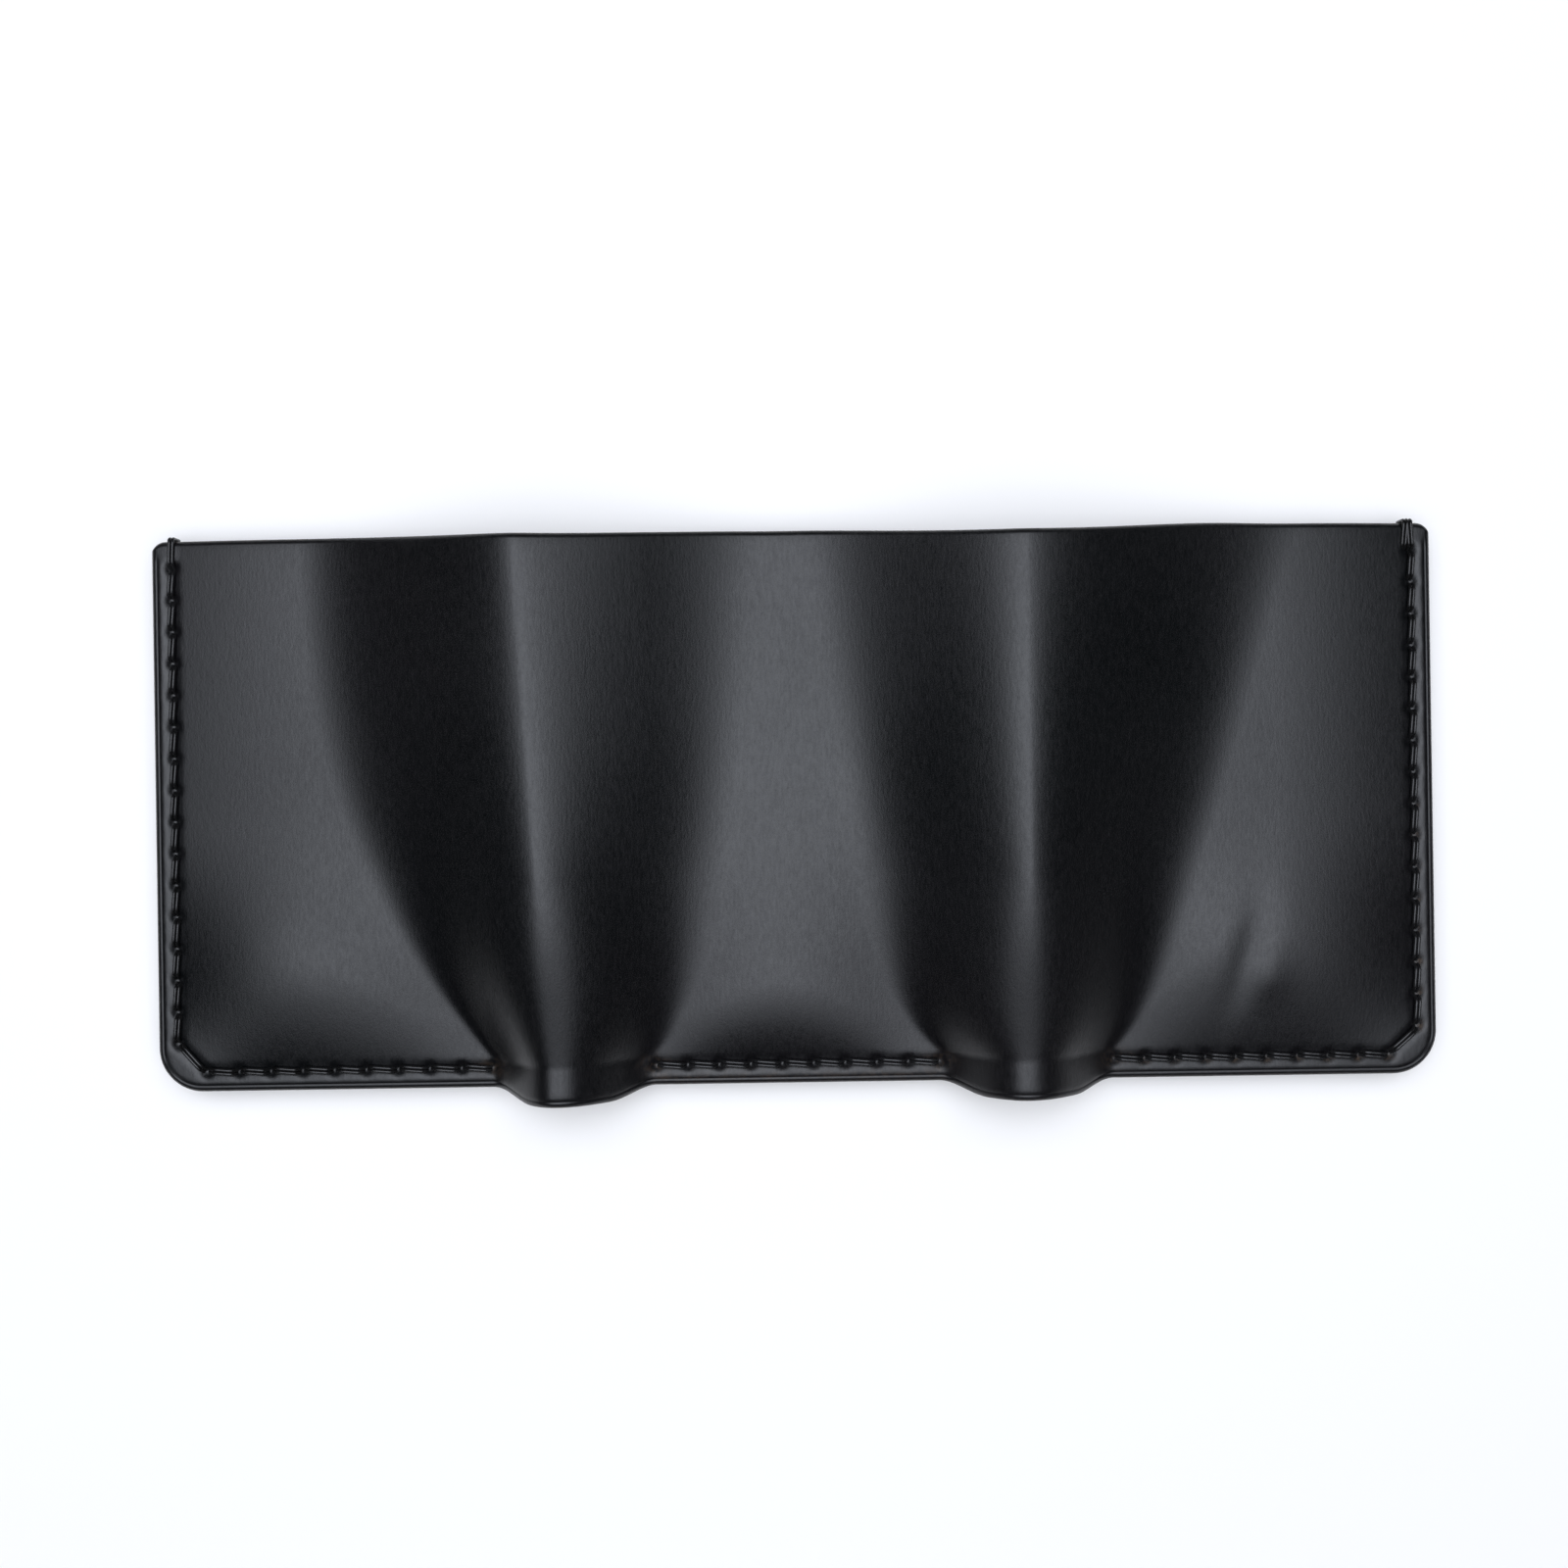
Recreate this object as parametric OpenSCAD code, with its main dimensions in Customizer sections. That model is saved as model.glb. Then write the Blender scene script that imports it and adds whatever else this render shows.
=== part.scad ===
// Trifold leather wallet, opened out with its card side down on the table.
// X runs across the wallet, Y towards the bill opening, Z up out of the outer leather.
// The origin is at the middle of the wallet, on the table. Units are millimetres.

/* [Wallet] */
// Width of the wallet opened out
wallet_w = 232; // [230:0.5:234]
// Height from the tips of the fold tongues to the bill opening
wallet_h = 102; // [100:0.5:104]
// Radius of the two lower corners
corner_r = 8; // [5:0.5:9]
// Radius of the two upper corners
top_corner_r = 2.5; // [1:0.5:4]
// How far the outer leather reaches past the lower edge at each fold
tongue_drop = 2; // [0.5:0.5:3]

/* [Leather] */
// Thickness of the outer leather
outer_t = 1.8; // [1.4:0.1:2]
// Thickness of the liner between bills and cards
liner_t = 1; // [0.8:0.1:1.2]
// Thickness of one card pocket leather
pocket_t = 0.7; // [0.6:0.1:0.8]
// Room for one card behind each pocket leather
slot_gap = 0.8; // [0.7:0.1:0.9]

/* [Bill compartment] */
// Height of the outer leather over the liner in the middle of each panel
panel_puff = 5; // [4.8:0.1:5.4]
// Length over which the leather climbs from the lower seam
climb_y = 24; // [20:1:28]
// Length over which the leather climbs from a side seam
climb_x = 20; // [16:1:24]
// Extra height of the fold ridges at the bill opening
ridge_rise = 8; // [5:0.5:8]
// Height of the fold bulges at the lower edge
bulge_rise = 13; // [10:0.5:13]

/* [Folds] */
// Unsewn stretch of the left fold, from its left end to its right end
left_zone = [-55.3, -25.7];
// Unsewn stretch of the right fold, from its left end to its right end
right_zone = [25.7, 57.3];
// Crest of the left fold, at the lower edge and at the bill opening
left_crest = [-42.5, -45.5];
// Crest of the right fold, at the lower edge and at the bill opening
right_crest = [40.3, 41.6];
// Half widths of the left ridge at the bill opening, towards left and right
left_reach = [34, 30];
// Half widths of the right ridge at the bill opening, towards left and right
right_reach = [28, 40];

/* [Card pockets] */
// Height over the lower edge of the deepest pocket's mouth
pocket_h = 84; // [80:1:88]
// Step down from one pocket's mouth to the next
pocket_step = 12; // [10:1:14]
// Width of a slot between its seams
slot_w = 55; // [54.6:0.1:56]
// Width of the sewn rim at the sides of a slot
rim_w = 3.2; // [2.8:0.1:3.4]
// Half width of the middle pockets
middle_half = 30; // [29.6:0.1:30.2]

/* [Coin pouch] */
// Place of the flap's bend, over the middle of the wallet
flap_bend_y = 20; // [18:1:22]
// Length of the flap from its bend to its tip
flap_l = 54; // [52:1:56]
// Width of the flap
flap_w = 51; // [48:1:51]
// Left end of the pouch
pouch_x = 57; // [57:0.5:58]
// Middle of the snap
snap_at = [85.3, -26];
// Radius of the snap's cap
cap_r = 6.2; // [5.5:0.1:7]
// Radius of the stud that the snap's socket grips
stud_r = 1.9; // [1.6:0.1:2.2]

/* [Stitching] */
// Distance of every seam from its leather's edge
seam_inset = 3.7; // [3.4:0.1:4]
// Length of a stitch
stitch_pitch = 5.75; // [5.6:0.05:5.9]
// Width of the waxed thread
thread_w = 1.2; // [1:0.1:1.4]
// Height of a stitch over the leather
thread_h = 0.5; // [0.4:0.05:0.5]

/* [Hidden] */
$fn = 48;

top_y = wallet_h / 2;
tongue_y = -wallet_h / 2;
low_y = tongue_y + tongue_drop;
edge_x = wallet_w / 2;
seam_x = edge_x - seam_inset;
seam_y = low_y + seam_inset;

// Layers, from the table up
slots = 3;
slot_t = pocket_t + slot_gap;
stack_t = slots * slot_t;
liner_z = stack_t;
bill_z = liner_z + liner_t;

// Where one panel's outer leather ends and the fold's begins
outer_cut = [-70, -24, 24, 70];
// The same for the liner, at the edges of the card pockets and the pouch
left_pocket_end = -54;
liner_cut = [left_pocket_end, -middle_half - 0.3, middle_half + 0.3, pouch_x];

// Seams: the side seams stop where one slanting stitch turns each lower corner
side_stitches = 15;
hem_stitches = 9;
pouch_stitches = 10;
corner_cut = 5.1;
side_low_y = seam_y + corner_cut;
hem_x = seam_x - corner_cut;
groove_w = thread_w + 0.3;
// The leather lies flat to just past the thread, then climbs
climb_from_x = seam_x - thread_w - 0.8;
climb_from_y = seam_y + thread_w + 0.8;
groove_t = thread_h + 0.05;
pocket_seam_inset = 1.5;

// Coin pouch, from the liner down
back_z = stack_t - pocket_t;
pouch_gap = 0.8;
front_t = 0.8;
front_drop = 3;
front_z = back_z - pouch_gap - front_t;
cap_t = 0.8;
flap_z = cap_t;
flap_x = pouch_x + (edge_x - pouch_x - flap_w) / 2 - 1.2;
bend_r = (stack_t - flap_z) / 2;
bend_z = (stack_t + flap_z) / 2;
post_r = 1.2;
fit = 0.1;

leather = [0.06, 0.06, 0.065];
lining = [0.1, 0.09, 0.085];
thread = [0.03, 0.03, 0.03];
metal = [0.45, 0.4, 0.3];

function lerp(a, b, t) = a + (b - a) * t;
function clamped(t) = min(1, max(0, t));
function eased(t) = let (s = clamped(t)) s * s * (3 - 2 * s);
function lobe(u) = abs(u) < 1 ? pow(cos(90 * u), 2) : 0;
function up_the_panel(y) = clamped((y - climb_from_y) / (top_y - climb_from_y));

// Height of the outer leather's inside over the liner
function panel_lift(x, y) =
    panel_puff * eased((y - climb_from_y) / climb_y) * eased((climb_from_x - abs(x)) / climb_x);
function fold_lift(x, y, crest, zone, reach) =
    let (
        t = up_the_panel(y),
        middle = lerp(crest[0], crest[1], t),
        half = x < middle ? lerp(crest[0] - zone[0], reach[0], t) : lerp(zone[1] - crest[0], reach[1], t)
    )
    lerp(bulge_rise, ridge_rise, eased((y - climb_from_y) / climb_y)) * lobe((x - middle) / half);
function lift(x, y) =
    panel_lift(x, y)
    + fold_lift(x, y, left_crest, left_zone, left_reach)
    + fold_lift(x, y, right_crest, right_zone, right_reach);

// Lower and upper edges of the outer leather, with round corners and the fold tongues
function arc_drop(x, r) = let (d = max(0, abs(x) - (edge_x - r))) r - sqrt(max(0, r * r - d * d));
function tongue(x, zone) = eased((x - zone[0]) / 8) * eased((zone[1] - x) / 8);
function lower_edge(x) =
    low_y + arc_drop(x, corner_r) - tongue_drop * (tongue(x, left_zone) + tongue(x, right_zone));
function upper_edge(x) = top_y - arc_drop(x, top_corner_r);

// One stretch of the outer leather, as a skin of even thickness on a grid of points
function row_y(x, j, rows) =
    let (low = lower_edge(x), first = max(climb_from_y, low + thread_w / 2))
    j == 0 ? low : lerp(first, upper_edge(x), pow((j - 1) / (rows - 1), 1.3));
module outer_leather(columns) {
    rows = 12;
    last = len(columns) - 1;
    points = [
        for (x = columns, j = [0 : rows], top = [0, 1])
            let (y = row_y(x, j, rows))
            [x, y, bill_z + lift(x, y) + top * outer_t]
    ];
    function at(i, j, top) = (i * (rows + 1) + j) * 2 + top;
    tops = [for (i = [0 : last - 1], j = [0 : rows - 1]) each [
        [at(i, j, 1), at(i, j + 1, 1), at(i + 1, j, 1)],
        [at(i + 1, j, 1), at(i, j + 1, 1), at(i + 1, j + 1, 1)]
    ]];
    bottoms = [for (i = [0 : last - 1], j = [0 : rows - 1]) each [
        [at(i, j, 0), at(i + 1, j, 0), at(i, j + 1, 0)],
        [at(i + 1, j, 0), at(i + 1, j + 1, 0), at(i, j + 1, 0)]
    ]];
    edges = [for (i = [0 : last - 1]) each [
        [at(i, 0, 0), at(i, 0, 1), at(i + 1, 0, 1)], [at(i, 0, 0), at(i + 1, 0, 1), at(i + 1, 0, 0)],
        [at(i, rows, 0), at(i + 1, rows, 1), at(i, rows, 1)],
        [at(i, rows, 0), at(i + 1, rows, 0), at(i + 1, rows, 1)]
    ]];
    ends = [for (j = [0 : rows - 1]) each [
        [at(0, j, 0), at(0, j + 1, 0), at(0, j + 1, 1)], [at(0, j, 0), at(0, j + 1, 1), at(0, j, 1)],
        [at(last, j, 0), at(last, j, 1), at(last, j + 1, 1)],
        [at(last, j, 0), at(last, j + 1, 1), at(last, j + 1, 0)]
    ]];
    color(leather) polyhedron(points, concat(tops, bottoms, edges, ends), convexity = 4);
}

// Columns packed closer towards the wallet's side edge
function edge_columns(edge, cut) = [for (i = [0 : 9]) lerp(edge, cut, pow(i / 9, 2))];
function even_columns(from, to, n) = [for (i = [0 : n]) lerp(from, to, i / n)];
// Columns of a fold, with one at each end of its unsewn stretch
function fold_columns(from, zone, to) =
    let (left = zone[0] - from > 5 ? 4 : 1, right = to - zone[1] > 5 ? 4 : 1)
    concat(
        [for (i = [0 : left - 1]) lerp(from, zone[0], i / left)],
        even_columns(zone[0], zone[1], 9),
        [for (i = [1 : right]) lerp(zone[1], to, i / right)]
    );

module outer_left_panel() outer_leather(edge_columns(-edge_x, outer_cut[0]));
module outer_left_fold() outer_leather(fold_columns(outer_cut[0], left_zone, outer_cut[1]));
module outer_middle_panel() outer_leather(even_columns(outer_cut[1], outer_cut[2], 8));
module outer_right_fold() outer_leather(fold_columns(outer_cut[2], right_zone, outer_cut[3]));
module outer_right_panel()
    outer_leather([for (i = [9 : -1 : 0]) edge_columns(edge_x, outer_cut[3])[i]]);

// Flat outline of the sewn layers
module outline() {
    translate([-edge_x + corner_r, low_y]) square([wallet_w - 2 * corner_r, top_y - low_y]);
    translate([-edge_x, low_y + corner_r]) square([wallet_w, top_y - low_y - corner_r - top_corner_r]);
    translate([-edge_x + top_corner_r, low_y + corner_r])
        square([wallet_w - 2 * top_corner_r, top_y - low_y - corner_r]);
    for (side = [-1, 1]) {
        translate([side * (edge_x - corner_r), low_y + corner_r]) circle(corner_r);
        translate([side * (edge_x - top_corner_r), top_y - top_corner_r]) circle(top_corner_r);
    }
}

// The part of the outline between two places across and two places up
module outline_part(x0, x1, y0, y1) {
    intersection() {
        outline();
        translate([x0, y0]) square([x1 - x0, y1 - y0]);
    }
}

// The liner stands back from the bill opening, except at the side seams
module liner(x0, x1) {
    dip = 3.5;
    ear = 12;
    color(lining)
        translate([0, 0, liner_z]) linear_extrude(liner_t)
            difference() {
                outline_part(x0, x1, low_y, top_y);
                polygon([
                    [-edge_x + ear, top_y + 1], [-edge_x + ear + dip, top_y - dip],
                    [edge_x - ear - dip, top_y - dip], [edge_x - ear, top_y + 1]
                ]);
            }
}

module liner_left_panel() liner(-edge_x, liner_cut[0]);
module liner_left_fold() liner(liner_cut[0], liner_cut[1]);
module liner_middle_panel() liner(liner_cut[1], liner_cut[2]);
module liner_right_fold() liner(liner_cut[2], liner_cut[3]);
module liner_right_panel() liner(liner_cut[3], edge_x);

// Pocket n of a stack, counted from the liner: a leather with a rim that leaves room for a card
function mouth_y(n) = low_y + pocket_h - (n - 1) * pocket_step;

module seam_grooves(x0, x1, top, corner) {
    for (x = [x0, x1]) {
        y0 = corner && x == x0 ? side_low_y : seam_y - groove_w / 2;
        translate([x - groove_w / 2, y0, -1]) cube([groove_w, top + 1 - y0, 1 + groove_t]);
    }
    translate([corner ? x0 + corner_cut : x0, seam_y - groove_w / 2, -1])
        cube([x1 - x0 - (corner ? corner_cut : 0), groove_w, 1 + groove_t]);
    if (corner)
        translate([x0 + corner_cut, seam_y, -1])
            rotate([0, 0, 135])
                translate([-0.4, -groove_w / 2, 0]) cube([corner_cut * sqrt(2) + 0.8, groove_w, 1 + groove_t]);
}

module card_pocket(n, x0, x1, rim_left, rim_right) {
    z = stack_t - n * slot_t;
    color(leather)
        difference() {
            translate([0, 0, z]) linear_extrude(slot_t) outline_part(x0, x1, low_y, mouth_y(n));
            translate([x0 + rim_left, seam_y + rim_w / 2, z + pocket_t])
                cube([x1 - x0 - rim_left - rim_right, pocket_h, slot_gap + 1]);
            if (n == slots)
                seam_grooves(
                    x0 == -edge_x ? -seam_x : x0 + pocket_seam_inset,
                    x1 - pocket_seam_inset, mouth_y(n), x0 == -edge_x
                );
        }
}

module left_card_pocket(n)
    card_pocket(n, -edge_x, left_pocket_end, seam_inset + pocket_seam_inset,
        left_pocket_end + edge_x - seam_inset - pocket_seam_inset - slot_w);
module middle_card_pocket(n)
    card_pocket(n, -middle_half, middle_half, middle_half - slot_w / 2, middle_half - slot_w / 2);

module left_card_pocket_1() left_card_pocket(1);
module left_card_pocket_2() left_card_pocket(2);
module left_card_pocket_3() left_card_pocket(3);
module middle_card_pocket_1() middle_card_pocket(1);
module middle_card_pocket_2() middle_card_pocket(2);
module middle_card_pocket_3() middle_card_pocket(3);

module coin_pouch_back()
    color(leather)
        translate([0, 0, back_z]) linear_extrude(pocket_t) outline_part(pouch_x, edge_x, low_y, flap_bend_y);

// Gusset folded flat round the two sides and the bottom of the pouch
module coin_pouch_gusset()
    color(leather)
        translate([0, 0, back_z - pouch_gap]) linear_extrude(pouch_gap)
            difference() {
                outline_part(pouch_x, edge_x, low_y, flap_bend_y);
                translate([pouch_x + seam_inset, seam_y + rim_w / 2])
                    square([edge_x - pouch_x - 2 * seam_inset - pocket_seam_inset, wallet_h]);
            }

module coin_pouch_front()
    color(leather)
        difference() {
            translate([0, 0, front_z]) linear_extrude(front_t)
                outline_part(pouch_x, edge_x, low_y, flap_bend_y - front_drop);
            translate([snap_at[0], snap_at[1], front_z - 1]) cylinder(r = post_r + fit / 2, h = front_t + 2);
        }

module coin_pouch_flap() {
    tip_y = flap_bend_y - flap_l;
    tip_r = 14;
    color(leather)
        translate([0, 0, flap_z]) linear_extrude(pocket_t)
            difference() {
                union() {
                    translate([flap_x, tip_y + tip_r]) square([flap_w, flap_l - tip_r - fit]);
                    translate([flap_x + tip_r, tip_y]) square([flap_w - 2 * tip_r, flap_l - fit]);
                    for (x = [flap_x + tip_r, flap_x + flap_w - tip_r])
                        translate([x, tip_y + tip_r]) circle(tip_r);
                }
                translate(snap_at) circle(post_r + fit / 2);
            }
}

// The flap's bend, a half round of the pouch's back leather
module coin_pouch_bend()
    color(leather)
        translate([flap_x, flap_bend_y, bend_z]) rotate([90, 0, 90]) linear_extrude(flap_w)
            difference() {
                circle(bend_r);
                circle(bend_r - pocket_t);
                translate([-2 * bend_r, -2 * bend_r]) square([2 * bend_r, 4 * bend_r]);
            }

module snap_cap()
    color(metal)
        translate([snap_at[0], snap_at[1], 0]) rotate_extrude()
            polygon([
                [0, 0], [cap_r / 2, 0], [cap_r * 0.85, 0.12], [cap_r, 0.5], [cap_r, cap_t],
                [post_r, cap_t], [post_r, cap_t + pocket_t], [0, cap_t + pocket_t]
            ]);

module snap_socket()
    color(metal)
        translate([snap_at[0], snap_at[1], flap_z + pocket_t])
            difference() {
                cylinder(r = cap_r - 1, h = front_z - flap_z - pocket_t - fit);
                translate([0, 0, -1]) cylinder(r = stud_r + fit, h = 3);
            }

module snap_stud()
    color(metal)
        translate([snap_at[0], snap_at[1], flap_z + pocket_t + fit])
            cylinder(r = stud_r, h = front_z - flap_z - pocket_t - fit);

module snap_post()
    color(metal)
        translate([snap_at[0], snap_at[1], front_z]) {
            cylinder(r = post_r, h = front_t);
            translate([0, 0, front_t]) cylinder(r = cap_r - 2, h = pouch_gap / 2);
        }

// One stitch lying between two holes, with its underside or its top at height z
module stitch(from, to, z) {
    run = to - from;
    gap = 0.5;
    translate([from[0], from[1], z])
        rotate([0, 0, atan2(run[1], run[0])])
            translate([gap, -thread_w / 2, 0]) cube([norm(run) - 2 * gap, thread_w, thread_h]);
}

// Height of the undermost leather where a stitch's lower end lies, on a stack of card pockets
function pocket_face(y) =
    y < mouth_y(3) ? groove_t
    : y < mouth_y(2) ? slot_t
    : y < mouth_y(1) ? 2 * slot_t
    : liner_z;
function pouch_face(y) =
    y < flap_bend_y - front_drop ? front_z
    : y < flap_bend_y ? back_z - pouch_gap
    : liner_z;

// A side seam, its slanting corner stitch and the hem, on both faces; side is -1 or 1
module edge_seam(side) {
    function under(y) = (side < 0 ? pocket_face(y) : pouch_face(y)) - thread_h;
    over = bill_z + outer_t;
    hem_pitch = (hem_x - (side < 0 ? -left_zone[0] : right_zone[1])) / hem_stitches;
    for (i = [0 : side_stitches - 1]) {
        y0 = side_low_y + i * stitch_pitch;
        for (z = [over, under(y0)]) stitch([side * seam_x, y0], [side * seam_x, y0 + stitch_pitch], z);
    }
    for (i = [0 : hem_stitches - 1]) {
        x0 = hem_x - i * hem_pitch;
        for (z = [over, under(seam_y)]) stitch([side * x0, seam_y], [side * (x0 - hem_pitch), seam_y], z);
    }
    for (z = [over, under(seam_y)]) stitch([side * hem_x, seam_y], [side * seam_x, side_low_y], z);
}

module left_seam() color(thread) edge_seam(-1);
module right_seam() color(thread) edge_seam(1);
module middle_seam()
    color(thread)
        for (i = [0 : hem_stitches - 1], z = [bill_z + outer_t, groove_t - thread_h]) {
            pitch = (right_zone[0] - left_zone[1]) / hem_stitches;
            x0 = left_zone[1] + i * pitch;
            stitch([x0, seam_y], [x0 + pitch, seam_y], z);
        }

// Stitches up an inner seam at x: under the pockets all the way, and over the liner
// from where the outer leather stands clear of them
module inner_stitch(x, i, face) {
    y0 = seam_y + i * stitch_pitch;
    stitch([x, y0], [x, y0 + stitch_pitch], face - thread_h);
    if (i > 1) stitch([x, y0], [x, y0 + stitch_pitch], bill_z);
}

module pocket_side_seam(x) {
    count = floor((mouth_y(1) - seam_y) / stitch_pitch);
    for (i = [1 : count - 1]) inner_stitch(x, i, pocket_face(seam_y + i * stitch_pitch));
}

module left_pocket_seam() color(thread) pocket_side_seam(left_pocket_end - pocket_seam_inset);
module middle_pocket_seam()
    color(thread)
        for (side = [-1, 1]) pocket_side_seam(side * (middle_half - pocket_seam_inset));
module coin_pouch_seam()
    color(thread)
        for (i = [1 : pouch_stitches - 1])
            inner_stitch(pouch_x + pocket_seam_inset, i, pouch_face(seam_y + i * stitch_pitch));

outer_left_panel();
outer_left_fold();
outer_middle_panel();
outer_right_fold();
outer_right_panel();
liner_left_panel();
liner_left_fold();
liner_middle_panel();
liner_right_fold();
liner_right_panel();
left_card_pocket_1();
left_card_pocket_2();
left_card_pocket_3();
middle_card_pocket_1();
middle_card_pocket_2();
middle_card_pocket_3();
coin_pouch_back();
coin_pouch_gusset();
coin_pouch_front();
coin_pouch_flap();
coin_pouch_bend();
snap_cap();
snap_socket();
snap_stud();
snap_post();
left_seam();
middle_seam();
right_seam();
left_pocket_seam();
middle_pocket_seam();
coin_pouch_seam();
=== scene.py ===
"""Trifold wallet laid open with its card side down. Metres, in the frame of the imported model."""

import math

import bmesh
import bpy
import numpy as np
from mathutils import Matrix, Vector


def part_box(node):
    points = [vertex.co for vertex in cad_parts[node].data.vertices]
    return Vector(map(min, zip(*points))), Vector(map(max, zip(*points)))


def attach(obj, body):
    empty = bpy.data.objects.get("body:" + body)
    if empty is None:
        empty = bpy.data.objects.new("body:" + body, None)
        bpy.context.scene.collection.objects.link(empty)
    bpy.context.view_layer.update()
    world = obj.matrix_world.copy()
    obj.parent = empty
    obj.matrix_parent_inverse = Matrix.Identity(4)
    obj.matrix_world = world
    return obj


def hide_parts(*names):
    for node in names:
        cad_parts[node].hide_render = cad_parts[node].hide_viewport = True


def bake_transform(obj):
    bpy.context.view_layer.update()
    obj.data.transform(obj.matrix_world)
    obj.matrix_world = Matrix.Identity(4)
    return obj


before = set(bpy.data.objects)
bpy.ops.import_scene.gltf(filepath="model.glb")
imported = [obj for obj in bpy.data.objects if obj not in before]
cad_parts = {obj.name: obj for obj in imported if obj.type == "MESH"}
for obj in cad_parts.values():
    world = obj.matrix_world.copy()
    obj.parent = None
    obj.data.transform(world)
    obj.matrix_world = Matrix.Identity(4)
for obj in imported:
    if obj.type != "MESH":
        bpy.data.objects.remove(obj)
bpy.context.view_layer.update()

MM = 0.001

# ---------------------------------------------------------------- sizes from the frame
left_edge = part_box("outer_left_panel")[0][0]
right_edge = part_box("outer_right_panel")[1][0]
top_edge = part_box("outer_middle_panel")[1][1]
low_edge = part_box("liner_middle_panel")[0][1]
tongue_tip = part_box("outer_left_fold")[0][1]
liner_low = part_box("liner_middle_panel")[0][2]
liner_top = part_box("liner_middle_panel")[1][2]
liner_high_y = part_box("liner_middle_panel")[1][1]
outer_thick = 1.8 * MM
seam_inset = 3.7 * MM
seam_x = right_edge - seam_inset
seam_y = low_edge + seam_inset
corner_radius = 8 * MM
top_corner_radius = 2.5 * MM
stitch = 5.75 * MM
corner_cut = 5.1 * MM
side_seam_low = seam_y + corner_cut
hem_start = seam_x - corner_cut
side_stitches = 15
hem_stitches = 9
LEFT_ZONE = (-55.3 * MM, -25.7 * MM)
RIGHT_ZONE = (25.7 * MM, 57.3 * MM)
left_crest_x = -45.5 * MM
right_crest_x = 41 * MM


# ---------------------------------------------------------------- curves that the form is made of
def clamped(t):
    return np.clip(t, 0.0, 1.0)


def eased(t):
    s = clamped(t)
    return s * s * (3 - 2 * s)


def slowing(t):
    return 1 - (1 - clamped(t)) ** 2


def mixed(a, b, t):
    return a + (b - a) * t


def ridge_shape(u, roundness):
    """1 on the crest and 0 at the foot, with a rounder crest where the roundness is higher."""
    return (1 - clamped(np.abs(u)) ** roundness) ** 2


def arc_drop(x, radius):
    d = np.maximum(0.0, np.abs(x) - (right_edge - radius))
    return radius - np.sqrt(np.maximum(0.0, radius * radius - d * d))


def tongue(x, zone):
    reach = 8 * MM
    return eased((x - zone[0]) / reach) * eased((zone[1] - x) / reach)


def lower_edge(x):
    return low_edge + arc_drop(x, corner_radius)


def outer_lower_edge(x):
    drop = low_edge - tongue_tip
    return lower_edge(x) - drop * (tongue(x, LEFT_ZONE) + tongue(x, RIGHT_ZONE))


def upper_edge(x):
    return top_edge - arc_drop(x, top_corner_radius)


def outer_upper_edge(x):
    """Each fold's strip of leather sits lower: it stands out below, and its upper edge dips by as much."""
    left = 1.6 * MM * ridge_shape((x + 47 * MM) / (40 * MM), 1.8)
    right = 2.3 * MM * ridge_shape((x - 40.5 * MM) / (40 * MM), 1.8)
    return upper_edge(x) - left - right


# ---------------------------------------------------------------- form of the outer leather
CLIMB_FROM_X = seam_x - 1.4 * MM
CLIMB_FROM_Y = seam_y + 1.4 * MM
SIDE_CLIMB = 24 * MM
LEFT_PUFF = 3.5 * MM
RIGHT_PUFF = 4.3 * MM
MIDDLE_PUFF = 2.5 * MM
BULGE = 10.4 * MM
RIDGE_HALFWAY = 13.9 * MM
RIDGE_AT_TOP = 14.2 * MM


def widening(t, at_seam, quick, speed, steady):
    """Half width of a ridge on one side: it spreads quickly past the seam's end, then steadily."""
    return at_seam + quick * (1 - (1 - t) ** speed) + steady * t


def ridge(x, y, crest, left_half, right_half):
    t = clamped((y - CLIMB_FROM_Y) / (top_edge - CLIMB_FROM_Y))
    middle = mixed(crest[0], crest[1], t)
    half = np.where(x < middle, widening(t, *left_half), widening(t, *right_half))
    lower = mixed(BULGE, RIDGE_HALFWAY, slowing(2 * t))
    upper = mixed(RIDGE_HALFWAY, RIDGE_AT_TOP, eased(2 * t - 1))
    roundness = mixed(2.05, 1.52, clamped(t / 0.35))
    return np.where(t < 0.5, lower, upper) * ridge_shape((x - middle) / half, roundness)


def terrace(y, puff, climb, arch, at_top):
    """A panel's own height: it climbs from the hem, and hardly at all beside the unsewn folds."""
    t = clamped((y - CLIMB_FROM_Y) / (top_edge - CLIMB_FROM_Y))
    spread = mixed(arch, 1.0, eased(t / 0.6)) * mixed(1.0, at_top, eased((t - 0.12) / 0.36))
    length = mixed(6 * MM, climb, arch)
    return puff * spread * slowing((y - CLIMB_FROM_Y) / length)


def swell(x, y, at, size, height):
    return height * np.exp(-((x - at[0]) / size[0]) ** 2 - ((y - at[1]) / size[1]) ** 2)


def snap_dent(x, y):
    """The snap under the leather prints through: a soft crease on its left and a low swell over it."""
    along = (y + 26 * MM) / (14 * MM)
    off = x - (81.3 * MM + 3.2 * MM * along - 1.2 * MM * along ** 2)
    crease = np.exp(-(off / (3.0 * MM)) ** 2) * np.exp(-((y + 26.5 * MM) / (9.0 * MM)) ** 2)
    return swell(x, y, (84.6 * MM, -30.5 * MM), (3.4 * MM, 4.6 * MM), 0.34 * MM) - 0.55 * MM * crease


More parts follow.
